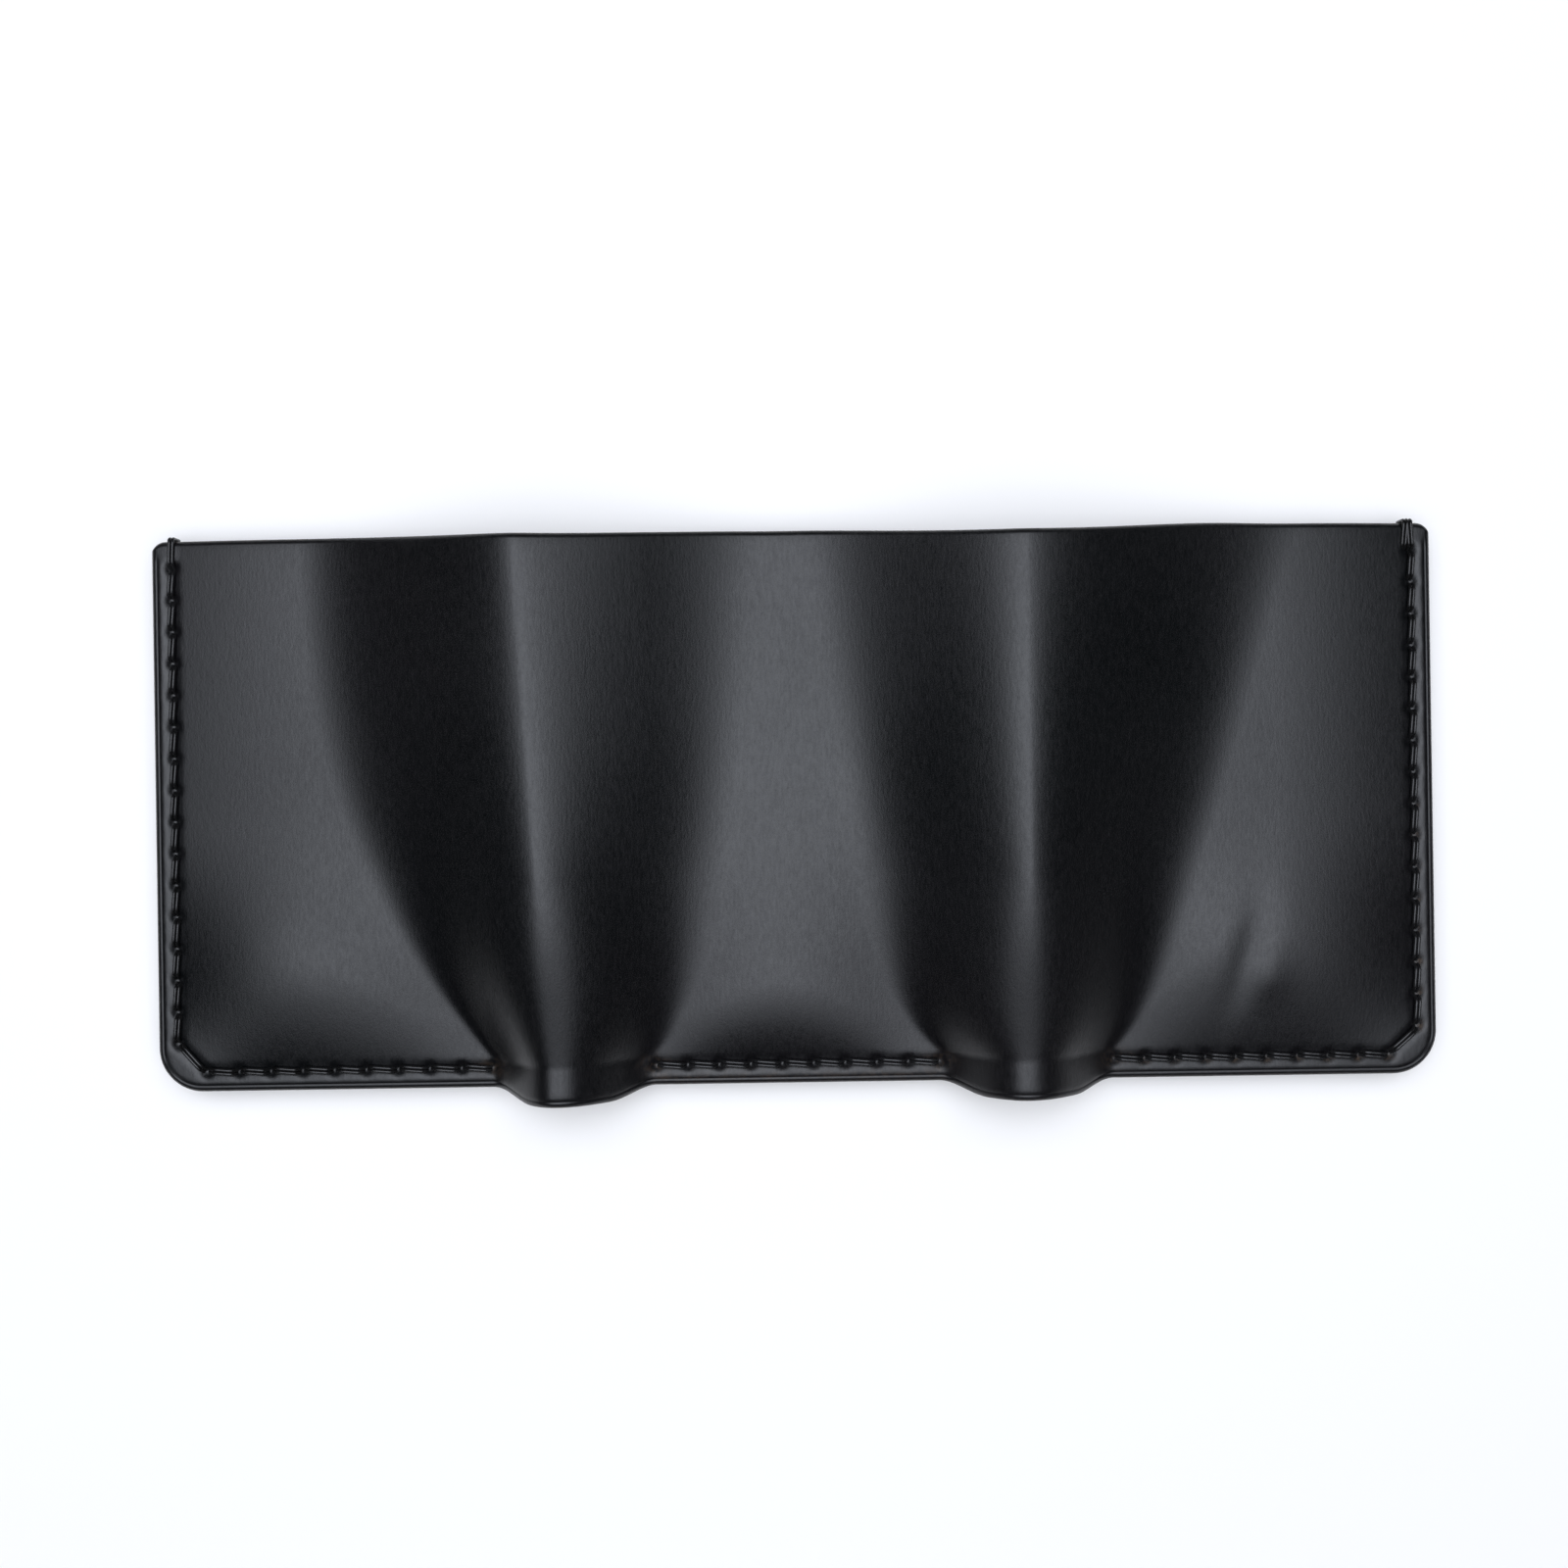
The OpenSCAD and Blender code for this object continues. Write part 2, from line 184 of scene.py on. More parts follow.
def lift(x, y):
    """Height of the outer leather's inside over the liner."""
    beside_left = eased((-x - 25 * MM) / (20 * MM))
    beside_right = eased((x - 25 * MM) / (20 * MM))
    side = slowing((CLIMB_FROM_X - np.abs(x)) / SIDE_CLIMB)
    left_arch = eased((-55 * MM - x) / (46 * MM))
    right_arch = eased((x - 56 * MM) / (34 * MM))
    middle_arch = np.cos(np.pi / 2 * np.clip((x + 3 * MM) / (27 * MM), -1, 1)) ** 2
    left_panel = terrace(y, LEFT_PUFF, 23 * MM, left_arch, 0.3) * beside_left * side
    right_panel = terrace(y, RIGHT_PUFF, 30 * MM, right_arch, 0.46) * beside_right * side
    middle_panel = terrace(y, MIDDLE_PUFF, 14 * MM, middle_arch, 0.8) * (1 - beside_left) * (1 - beside_right)
    left_ridge = ridge(
        x, y, (-42.8 * MM, -48.3 * MM), (12.4 * MM, 32.5 * MM, 2.5, -4.5 * MM), (17 * MM, 11.5 * MM, 6, 16.5 * MM)
    )
    right_ridge = ridge(
        x, y, (40.4 * MM, 40.6 * MM), (14.6 * MM, 10.5 * MM, 10, 15.5 * MM), (16.8 * MM, 6 * MM, 12, 28 * MM)
    )
    return left_panel + right_panel + middle_panel + left_ridge + right_ridge


# ---------------------------------------------------------------- seams: paths, grooves and holes
def edge_seam_path(side):
    """Hole after hole: up the hem from the fold to the corner, one slanting stitch, then up the side."""
    zone_end = LEFT_ZONE[0] if side < 0 else RIGHT_ZONE[1]
    hem = [(mixed(zone_end, side * hem_start, i / hem_stitches), seam_y) for i in range(hem_stitches + 1)]
    sides = [(side * seam_x, side_seam_low + i * stitch) for i in range(side_stitches + 1)]
    return hem + sides


def middle_seam_path():
    return [(mixed(LEFT_ZONE[1], RIGHT_ZONE[0], i / hem_stitches), seam_y) for i in range(hem_stitches + 1)]


SEAM_PATHS = {"left": edge_seam_path(-1), "middle": middle_seam_path(), "right": edge_seam_path(1)}


def seam_marks(x, y):
    """Depth of the pressed groove and its holes in the leather's face."""
    groove = np.zeros_like(x)
    holes = np.zeros_like(x)
    for path in SEAM_PATHS.values():
        for (ax, ay), (bx, by) in zip(path, path[1:]):
            run = np.hypot(bx - ax, by - ay)
            ux, uy = (bx - ax) / run, (by - ay) / run
            near = (np.abs(x - (ax + bx) / 2) < run) & (np.abs(y - (ay + by) / 2) < run)
            along = np.clip((x[near] - ax) * ux + (y[near] - ay) * uy, 0, run)
            off = np.hypot(x[near] - ax - along * ux, y[near] - ay - along * uy)
            groove[near] = np.maximum(groove[near], np.exp(-((off / (0.95 * MM)) ** 2)))
        for px, py in path:
            near = (np.abs(x - px) < 3 * MM) & (np.abs(y - py) < 3 * MM)
            off = np.hypot(x[near] - px, y[near] - py)
            holes[near] = np.maximum(holes[near], np.exp(-((off / (0.85 * MM)) ** 2)))
    return groove, holes


def edge_distance(x, y, low):
    """How far a place is from the nearest edge of the outer leather."""
    d = np.minimum(right_edge - np.abs(x), np.minimum(y - low, outer_upper_edge(x) - y))
    cx = np.abs(x) - (right_edge - corner_radius)
    cy = (low_edge + corner_radius) - y
    in_corner = (cx > 0) & (cy > 0)
    return np.maximum(np.where(in_corner, corner_radius - np.hypot(cx, cy), d), 0)


def rounding(d, radius):
    u = clamped(1 - d / radius)
    return radius * (1 - np.sqrt(1 - u * u))


# ---------------------------------------------------------------- modelling helpers
def deselect():
    if bpy.context.object and bpy.context.object.mode != "OBJECT":
        bpy.ops.object.mode_set(mode="OBJECT")
    bpy.ops.object.select_all(action="DESELECT")


def active(piece):
    deselect()
    piece.select_set(True)
    bpy.context.view_layer.objects.active = piece
    return piece


def points_of(piece):
    co = np.empty(len(piece.data.vertices) * 3)
    piece.data.vertices.foreach_get("co", co)
    return co.reshape(-1, 3)


def place_points(piece, co):
    piece.data.vertices.foreach_set("co", np.ascontiguousarray(co, dtype=np.float64).ravel())
    piece.data.update()


def apply_modifier(piece, kind, **values):
    modifier = piece.modifiers.new(kind.title(), kind)
    for name, value in values.items():
        setattr(modifier, name, value)
    active(piece)
    bpy.ops.object.modifier_apply(modifier=modifier.name)
    return piece


def smooth(piece, angle=40):
    active(piece)
    bpy.ops.object.shade_smooth_by_angle(angle=math.radians(angle))
    return piece


def finish_piece(piece, name, material):
    active(piece)
    bpy.ops.object.transform_apply(location=True, rotation=True, scale=True)
    piece.name = name
    piece.data.name = name
    piece.data.materials.clear()
    piece.data.materials.append(material)
    return piece


def stops(start, end, step, fine_start=True, fine_end=True):
    """Places from start to end, closer together near a cut edge so that its rounding shows."""
    border = np.array([0, 0.07, 0.17, 0.32, 0.55, 0.85, 1.02, 1.15, 1.28, 1.45]) * MM
    first = start + (border if fine_start else border[:1])
    last = end - (border if fine_end else border[:1])
    inner = np.linspace(first[-1], last[-1], max(2, int(round((last[-1] - first[-1]) / step)) + 1))
    return np.concatenate([first[:-1], inner, last[:-1][::-1]])


def shell(across, up, form):
    """A sheet with two faces. form(x, v, upper) gives the points of a face from their places across and up."""
    deselect()
    bpy.ops.mesh.primitive_grid_add(x_subdivisions=len(across) - 1, y_subdivisions=len(up) - 1, size=2)
    sheet = bpy.context.object
    apply_modifier(sheet, "SOLIDIFY", thickness=0.1, offset=0.0)
    co = points_of(sheet)
    i = np.rint((co[:, 0] + 1) / 2 * (len(across) - 1)).astype(int)
    j = np.rint((co[:, 1] + 1) / 2 * (len(up) - 1)).astype(int)
    x, v, upper = across[i], up[j], co[:, 2] > 0
    place_points(sheet, form(x, v, upper))
    return sheet


def set_attribute(piece, name, values):
    layer = piece.data.attributes.new(name, "FLOAT", "POINT")
    layer.data.foreach_set("value", np.ascontiguousarray(values, dtype=np.float32))


def part_between(whole, x0, x1):
    """A copy of a sheet with only the faces between two places across, closed where it is cut."""
    deselect()
    part = whole.copy()
    part.data = whole.data.copy()
    bpy.context.scene.collection.objects.link(part)
    mesh = bmesh.new()
    mesh.from_mesh(part.data)
    mesh.verts.ensure_lookup_table()
    pair = len(mesh.verts) // 2
    kept = {f: x0 < f.calc_center_median().x < x1 for f in mesh.faces}
    cut = [e for e in mesh.edges if len({kept[f] for f in e.link_faces}) == 2]
    for a, b in [[v.index for v in e.verts] for e in cut if max(v.index for v in e.verts) < pair]:
        mesh.faces.new([mesh.verts[k] for k in (a, b, b + pair, a + pair)])
    for e in cut:
        e.smooth = False
    bmesh.ops.delete(mesh, geom=[f for f, stays in kept.items() if not stays], context="FACES")
    bmesh.ops.recalc_face_normals(mesh, faces=mesh.faces)
    mesh.to_mesh(part.data)
    mesh.free()
    return part


def keep_normals(part, whole):
    """The whole sheet's smooth normals, so that the cut between two stretches doesn't show."""
    apply_modifier(
        part, "DATA_TRANSFER", object=whole, use_loop_data=True, data_types_loops={"CUSTOM_NORMAL"},
        loop_mapping="NEAREST_POLYNOR",
    )


# ---------------------------------------------------------------- materials
def shader_nodes(material):
    material.use_nodes = True
    nodes = material.node_tree.nodes
    return nodes, material.node_tree.links, nodes["Principled BSDF"]


def grain_group():
    """Fine streaks along the hide, pores and small specks. Puts out a tone, a roughness and a height."""
    group = bpy.data.node_groups.new("hide grain", "ShaderNodeTree")
    face = group.interface
    for name, kind, value in (
        ("Dark", "NodeSocketColor", (0.01, 0.01, 0.011, 1)),
        ("Light", "NodeSocketColor", (0.02, 0.021, 0.024, 1)),
        ("Fibre", "NodeSocketColor", (0.12, 0.08, 0.05, 1)),
        ("Wear", "NodeSocketFloat", 0.0),
        ("Rough Low", "NodeSocketFloat", 0.3),
        ("Rough High", "NodeSocketFloat", 0.4),
    ):
        socket = face.new_socket(name=name, in_out="INPUT", socket_type=kind)
        socket.default_value = value
    for name, kind in (("Color", "NodeSocketColor"), ("Roughness", "NodeSocketFloat"), ("Height", "NodeSocketFloat")):
        face.new_socket(name=name, in_out="OUTPUT", socket_type=kind)
    nodes, links = group.nodes, group.links
    given = nodes.new("NodeGroupInput")
    out = nodes.new("NodeGroupOutput")
    place = nodes.new("ShaderNodeTexCoord")

    def stretched(scale):
        mapping = nodes.new("ShaderNodeMapping")
        mapping.inputs["Scale"].default_value = scale
        links.new(place.outputs["Object"], mapping.inputs["Vector"])
        return mapping.outputs["Vector"]

    def noise_texture(vector, scale, detail, rough):
        texture = nodes.new("ShaderNodeTexNoise")
        texture.inputs["Scale"].default_value = scale
        texture.inputs["Detail"].default_value = detail
        texture.inputs["Roughness"].default_value = rough
        links.new(vector, texture.inputs["Vector"])
        return texture.outputs["Fac"]

    def math_node(kind, a, b):
        node = nodes.new("ShaderNodeMath")
        node.operation = kind
        for k, value in enumerate((a, b)):
            if isinstance(value, (int, float)):
                node.inputs[k].default_value = value
            else:
                links.new(value, node.inputs[k])
        return node.outputs[0]

    def mapped(value, low, high, to_low, to_high):
        node = nodes.new("ShaderNodeMapRange")
        node.inputs["From Min"].default_value = low
        node.inputs["From Max"].default_value = high
        links.new(value, node.inputs["Value"])
        for name, end in (("To Min", to_low), ("To Max", to_high)):
            if isinstance(end, (int, float)):
                node.inputs[name].default_value = end
            else:
                links.new(end, node.inputs[name])
        return node.outputs["Result"]

    plain = place.outputs["Object"]
    streaks = noise_texture(stretched((1.0, 0.26, 1.0)), 2000, 3, 0.6)
    pores = noise_texture(stretched((1.0, 0.7, 1.0)), 3200, 2, 0.6)
    clouds = noise_texture(plain, 26, 3, 0.5)
    drift = noise_texture(plain, 7, 2, 0.5)
    height = math_node("ADD", math_node("MULTIPLY", streaks, 0.62), math_node("MULTIPLY", pores, 0.38))
    mottled = math_node("ADD", math_node("MULTIPLY", height, 0.7), math_node("MULTIPLY", clouds, 0.3))
    tone = nodes.new("ShaderNodeMix")
    tone.data_type = "RGBA"
    links.new(mapped(math_node("ADD", math_node("MULTIPLY", drift, 0.6), math_node("MULTIPLY", height, 0.4)),
                     0.38, 0.62, 0.0, 1.0), tone.inputs["Factor"])
    links.new(given.outputs["Dark"], tone.inputs["A"])
    links.new(given.outputs["Light"], tone.inputs["B"])
    worn = nodes.new("ShaderNodeMix")
    worn.data_type = "RGBA"
    fibres = mapped(noise_texture(stretched((1.0, 1.0, 1.0)), 900, 4, 0.7), 0.42, 0.62, 0.0, 1.0)
    links.new(math_node("MULTIPLY", given.outputs["Wear"], fibres), worn.inputs["Factor"])
    links.new(tone.outputs["Result"], worn.inputs["A"])
    links.new(given.outputs["Fibre"], worn.inputs["B"])
    links.new(worn.outputs["Result"], out.inputs["Color"])
    rough = mapped(mottled, 0.36, 0.64, given.outputs["Rough Low"], given.outputs["Rough High"])
    links.new(math_node("ADD", rough, math_node("MULTIPLY", given.outputs["Wear"], 0.35)), out.inputs["Roughness"])
    links.new(height, out.inputs["Height"])
    return group


GRAIN = grain_group()


def hide(name, dark, light, rough, bump, bump_depth, fibre=(0.11, 0.075, 0.05)):
    material = bpy.data.materials.new(name)
    nodes, links, shader = shader_nodes(material)
    grain = nodes.new("ShaderNodeGroup")
    grain.node_tree = GRAIN
    grain.inputs["Dark"].default_value = (*dark, 1)
    grain.inputs["Light"].default_value = (*light, 1)
    grain.inputs["Fibre"].default_value = (*fibre, 1)
    grain.inputs["Rough Low"].default_value = rough[0]
    grain.inputs["Rough High"].default_value = rough[1]
    worn = nodes.new("ShaderNodeAttribute")
    worn.attribute_name = "wear"
    raised = nodes.new("ShaderNodeBump")
    raised.inputs["Strength"].default_value = bump
    raised.inputs["Distance"].default_value = bump_depth
    links.new(worn.outputs["Fac"], grain.inputs["Wear"])
    links.new(grain.outputs["Color"], shader.inputs["Base Color"])
    links.new(grain.outputs["Roughness"], shader.inputs["Roughness"])
    links.new(grain.outputs["Height"], raised.inputs["Height"])
    links.new(raised.outputs["Normal"], shader.inputs["Normal"])
    return material


glazed_leather = hide("glazed black leather", (0.0012, 0.0017, 0.0021), (0.0028, 0.0024, 0.0032), (0.28, 0.44), 0.8,
                      0.05 * MM)
lining_leather = hide("matt lining leather", (0.012, 0.011, 0.0105), (0.022, 0.02, 0.018), (0.55, 0.7), 0.5, 0.05 * MM)
pocket_leather = hide("satin pocket leather", (0.006, 0.006, 0.007), (0.012, 0.012, 0.014), (0.36, 0.48), 0.4, 0.04 * MM)
waxed_thread = hide("waxed thread", (0.003, 0.003, 0.003), (0.009, 0.009, 0.010), (0.2, 0.34), 0.5, 0.05 * MM)
snap_metal = hide("antique snap metal", (0.25, 0.2, 0.13), (0.35, 0.29, 0.2), (0.26, 0.4), 0.2, 0.01 * MM)
snap_metal.node_tree.nodes["Principled BSDF"].inputs["Metallic"].default_value = 1.0


# ---------------------------------------------------------------- outer leather
SHEET_STEP = 0.5 * MM
SETTLE_COLUMNS, SETTLE_ROWS = 116, 50
SETTLE_SCALE = 100
SETTLE_CAP = 0.5 * MM


def settled_drop():
    """Lets the leather settle as a stiff cloth sewn at its seams. Gives how far it moved up or down, on a grid."""
    drop = np.zeros((SETTLE_COLUMNS + 1, SETTLE_ROWS + 1))
    deselect()
    bpy.ops.mesh.primitive_grid_add(x_subdivisions=SETTLE_COLUMNS, y_subdivisions=SETTLE_ROWS, size=2)
    cloth = bpy.context.object
    co = points_of(cloth)
    i = np.rint((co[:, 0] + 1) / 2 * SETTLE_COLUMNS).astype(int)
    j = np.rint((co[:, 1] + 1) / 2 * SETTLE_ROWS).astype(int)
    x = mixed(left_edge, right_edge, i / SETTLE_COLUMNS)
    y = mixed(outer_lower_edge(x), outer_upper_edge(x), j / SETTLE_ROWS)
    start = np.column_stack([x, y, liner_top + lift(x, y)]) * SETTLE_SCALE
    place_points(cloth, start)
    beside_fold = (x < LEFT_ZONE[0]) | ((x > LEFT_ZONE[1]) & (x < RIGHT_ZONE[0])) | (x > RIGHT_ZONE[1])
    sewn = (np.abs(x) > CLIMB_FROM_X) | ((y < CLIMB_FROM_Y) & beside_fold)
    held = cloth.vertex_groups.new(name="held")
    held.add(np.flatnonzero(sewn).tolist(), 1.0, "REPLACE")
    held.add(np.flatnonzero(~sewn).tolist(), 0.4, "REPLACE")
    cloth.shape_key_add(name="laid")
    cut = cloth.shape_key_add(name="cut")
    for point, place in zip(cut.data, start * (1.006, 1.004, 1.0)):
        point.co = place
    modifier = cloth.modifiers.new("Cloth", "CLOTH")
    leather = modifier.settings
    leather.vertex_group_mass = "held"
    leather.rest_shape_key = cut
    leather.quality = 8
    leather.mass = 0.4
    leather.tension_stiffness = 60
    leather.compression_stiffness = 60
    leather.shear_stiffness = 40
    leather.bending_stiffness = 40
    leather.air_damping = 6
    leather.pin_stiffness = 1.0
    leather.effector_weights.gravity = 0.05
    modifier.collision_settings.use_collision = False
    modifier.collision_settings.use_self_collision = False
    for step in range(1, 41):
        bpy.context.scene.frame_set(step)
    deselect()
    cloth.select_set(True)
    bpy.context.view_layer.objects.active = cloth
    seen = cloth.evaluated_get(bpy.context.evaluated_depsgraph_get()).to_mesh()
    moved = np.empty(len(seen.vertices) * 3)
    seen.vertices.foreach_get("co", moved)
    drop[i, j] = (moved.reshape(-1, 3)[:, 2] - start[:, 2]) / SETTLE_SCALE
    print("settled by", round(drop.min() / MM, 2), "to", round(drop.max() / MM, 2), "mm")
    drop = SETTLE_CAP * np.tanh(drop / (3 * SETTLE_CAP))
    bpy.data.objects.remove(cloth)
    bpy.context.scene.frame_set(1)
    return drop


DROP = settled_drop()


def spline_weights(f):
    return ((1 - f) ** 3 / 6, (3 * f ** 3 - 6 * f ** 2 + 4) / 6, (-3 * f ** 3 + 3 * f ** 2 + 3 * f + 1) / 6, f ** 3 / 6)


def settled(x, v):
    """The settled height at a place across and up, as a smooth spline through the grid."""
    a = clamped((x - left_edge) / (right_edge - left_edge)) * SETTLE_COLUMNS
    b = clamped(v) * SETTLE_ROWS
    i, j = np.floor(a).astype(int), np.floor(b).astype(int)
    fa, fb = a - i, b - j
    height = np.zeros_like(x)
    for m, across in enumerate(spline_weights(fa)):
        for n, up in enumerate(spline_weights(fb)):
            column = np.clip(i + m - 1, 0, SETTLE_COLUMNS)
            row = np.clip(j + n - 1, 0, SETTLE_ROWS)
            height += across * up * DROP[column, row]
    return height


def outer_face(x, v, upper):
    low = outer_lower_edge(x)
    y = mixed(low, outer_upper_edge(x), v)
    groove, holes = seam_marks(x, y)
    edge = edge_distance(x, y, low)
    base = liner_top + lift(x, y) + settled(x, v)
    margin = 0.16 * MM * (1 - eased(edge / (2.4 * MM)))
    top = base + outer_thick + snap_dent(x, y) - margin
    creased = 0.13 * MM * np.exp(-((edge - 1.15 * MM) / (0.2 * MM)) ** 2)
    creased *= eased((outer_upper_edge(x) - y - 2 * MM) / (2 * MM))
    top -= 0.42 * MM * groove + 0.75 * MM * holes + creased + rounding(edge, 1.1 * MM)
    bottom = base + rounding(edge, 0.35 * MM)
    return np.column_stack([x, y, np.where(upper, top, bottom)])


def outer_columns():
    left = stops(left_edge, left_crest_x, SHEET_STEP, fine_end=False)
    middle_left = stops(left_crest_x, 0, SHEET_STEP, False, False)
    middle_right = stops(0, right_crest_x, SHEET_STEP, False, False)
    right = stops(right_crest_x, right_edge, SHEET_STEP, fine_start=False)
    return np.concatenate([left, middle_left[1:], middle_right[1:], right[1:]])


outer_rows = (stops(low_edge, top_edge, SHEET_STEP) - low_edge) / (top_edge - low_edge)
whole_outer = shell(outer_columns(), outer_rows, outer_face)
co = points_of(whole_outer)
x, y, z = co.T
edge = edge_distance(x, y, outer_lower_edge(x))
groove, holes = seam_marks(x, y)
cut_edge = 1 - eased(edge / (0.5 * MM))
hem_margin = np.exp(-((y - seam_y + 2.1 * MM) / (0.9 * MM)) ** 2) * (np.abs(x) < 27 * MM)
fold_ends = sum(np.exp(-(((x - ex) / (3 * MM)) ** 2) - ((y - seam_y) / (1.8 * MM)) ** 2) for ex in (*LEFT_ZONE, *RIGHT_ZONE))
outer_side = clamped((np.maximum(np.abs(x) - seam_x, seam_y - y) - 0.1 * MM) / (0.5 * MM))
lower_right = holes * outer_side * (x > 60 * MM) * (y < 0)
wear = np.clip(0.25 * cut_edge + 0.14 * hem_margin + 0.18 * fold_ends + 0.9 * lower_right, 0, 1)
set_attribute(whole_outer, "wear", wear)
smooth(whole_outer, 55)

STRETCHES = [
    ("outer_leather_left", left_edge, left_crest_x, "left_panel", "left_fold", (-56 * MM, -46 * MM),
     ["outer_left_panel"]),
    ("outer_leather_middle_left", left_crest_x, 0, "left_fold", "middle_panel", (-44.5 * MM, -29 * MM),
     ["outer_left_fold", "outer_middle_panel"]),
    ("outer_leather_middle_right", 0, right_crest_x, "middle_panel", "right_fold", (26 * MM, 40 * MM),
     ["outer_right_fold"]),
    ("outer_leather_right", right_crest_x, right_edge, "right_fold", "right_panel", (43 * MM, 57 * MM),
     ["outer_right_panel"]),
]


for name, x0, x1, body_a, body_b, across, nodes in STRETCHES:
    sheet = part_between(whole_outer, x0 - (1 if x0 == left_edge else 0), x1 + (1 if x1 == right_edge else 0))
    keep_normals(sheet, whole_outer)
    finish_piece(sheet, name, glazed_leather)
    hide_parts(*nodes)
    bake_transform(sheet)
bpy.data.objects.remove(whole_outer)


# ---------------------------------------------------------------- liner
LINER_DIP = 3.5 * MM


def liner_face(x, v, upper):
    ears = eased((np.abs(x) - (right_edge - 16 * MM)) / (5 * MM))
    high = upper_edge(x) - LINER_DIP * (1 - ears)
    low = lower_edge(x)
    y = mixed(low, high, v)
    side = np.minimum(right_edge - np.abs(x), np.minimum(y - low, high - y))
    edge = rounding(np.maximum(side, 0), 0.3 * MM)
    return np.column_stack([x, y, np.where(upper, liner_top - edge, liner_low + edge)])


LINER_STRETCHES = [
    ("liner_left", left_edge, -46 * MM, "left_panel", "left_fold", (-54 * MM, -47 * MM), ["liner_left_panel"]),
    ("liner_middle_left", -46 * MM, 0, "left_fold", "middle_panel", (-45 * MM, -37.5 * MM),
     ["liner_left_fold", "liner_middle_panel"]),
    ("liner_middle_right", 0, 42.5 * MM, "middle_panel", "right_fold", (30.3 * MM, 35 * MM), ["liner_right_fold"]),
    ("liner_right", 42.5 * MM, right_edge, "right_fold", "right_panel", (50 * MM, 56 * MM), ["liner_right_panel"]),
]
liner_rows = (stops(low_edge, top_edge, 1.2 * MM) - low_edge) / (top_edge - low_edge)
for name, x0, x1, body_a, body_b, across, nodes in LINER_STRETCHES:
    columns = stops(x0, x1, 1.0 * MM, x0 == left_edge, x1 == right_edge)
    sheet = smooth(shell(columns, liner_rows, liner_face), 50)
    finish_piece(sheet, name, lining_leather)
    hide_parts(*nodes)
    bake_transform(sheet)


# ---------------------------------------------------------------- card pockets
pocket_thick = 0.7 * MM
slot_room = 0.8 * MM


def pocket(node, slot_x, rim_low, seams):
    """A pocket leather: open at its mouth, pressed to the layer above along its other three edges."""
    (x0, y0, z0), (x1, mouth, z1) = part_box(node)
    front = z0 < 0.1 * MM

    def face(x, v, upper):
        low = lower_edge(x)
        y = mixed(low, mouth, v)
        inside = np.minimum(np.minimum(x - slot_x[0], slot_x[1] - x), y - rim_low)
        rim = 1 - eased((inside + 0.2 * MM) / (1.4 * MM))
        side = np.minimum(np.minimum(x - x0, x1 - x), np.minimum(y - low, mouth - y))
        edge = rounding(np.maximum(side, 0), 0.22 * MM)
        crease = 0.12 * MM * np.exp(-((mouth - y - 2 * MM) / (0.35 * MM)) ** 2)
        card_print = 0.16 * MM * eased(inside / (4 * MM))
        top = z0 + pocket_thick + slot_room * rim - edge
        bottom = z0 + edge + crease + 0.16 * MM - card_print
        if front:
            off = np.minimum(np.minimum(np.abs(x - seams[0]), np.abs(x - seams[1])), np.abs(y - seam_y))
            bottom += 0.45 * MM * np.exp(-((off / (0.95 * MM)) ** 2))
        return np.column_stack([x, y, np.where(upper, top, bottom)])

    columns = stops(x0, x1, 0.7 * MM)
    rows = (stops(y0, mouth, 0.8 * MM) - y0) / (mouth - y0)
    sheet = smooth(shell(columns, rows, face), 50)
    co = points_of(sheet)
    set_attribute(sheet, "wear", 0.35 * (1 - eased((mouth - co[:, 1]) / (0.4 * MM))))
    finish_piece(sheet, node + "_leather", pocket_leather)
    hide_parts(node)
    return sheet


rim_low = seam_y + 1.6 * MM
pocket_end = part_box("left_card_pocket_1")[1][0]
for n in (1, 2, 3):
    sheet = pocket("left_card_pocket_%d" % n, (left_edge + 5.2 * MM, left_edge + 60.2 * MM), rim_low,
                   (-seam_x, pocket_end - 1.5 * MM))
    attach(sheet, "left_panel")
    sheet = pocket("middle_card_pocket_%d" % n, (-27.5 * MM, 27.5 * MM), rim_low,
                   (-28.5 * MM, 28.5 * MM))
    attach(sheet, "middle_panel")


# ---------------------------------------------------------------- coin pouch
pouch_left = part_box("coin_pouch_back")[0][0]
bend_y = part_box("coin_pouch_back")[1][1]
back_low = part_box("coin_pouch_back")[0][2]
flap_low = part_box("coin_pouch_flap")[0][2]
flap_left, flap_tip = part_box("coin_pouch_flap")[0][:2]
flap_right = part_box("coin_pouch_flap")[1][0]
front_low, front_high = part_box("coin_pouch_front")[0][2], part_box("coin_pouch_front")[1][2]
front_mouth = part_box("coin_pouch_front")[1][1]
gusset_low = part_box("coin_pouch_gusset")[0][2]
snap_low, snap_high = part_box("snap_cap")
snap_middle = ((snap_low[0] + snap_high[0]) / 2, (snap_low[1] + snap_high[1]) / 2)
bend_radius = (back_low + pocket_thick - flap_low) / 2
bend_middle = flap_low + bend_radius
tip_radius = 14 * MM


def round_hole(sheet, middle, radius, low, high):
    """Opens a round hole for the snap's post in the faces between two heights."""
    mesh = bmesh.new()
    mesh.from_mesh(sheet.data)
    at = Vector((middle[0], middle[1], 0))
    near = []
    for f in mesh.faces:
        c = f.calc_center_median()
        if low < c.z < high and (Vector((c.x, c.y, 0)) - at).length < radius:
            near.append(f)
    bmesh.ops.delete(mesh, geom=near, context="FACES")
    rims = [e for e in mesh.edges if e.is_boundary]
    for v in {v for e in rims for v in e.verts}:
        out = Vector((v.co.x, v.co.y, 0)) - at
        out = out.normalized() * radius
        v.co.x, v.co.y = at.x + out.x, at.y + out.y
    bmesh.ops.bridge_loops(mesh, edges=rims)
    bmesh.ops.recalc_face_normals(mesh, faces=mesh.faces)
    mesh.to_mesh(sheet.data)
    mesh.free()
    return sheet


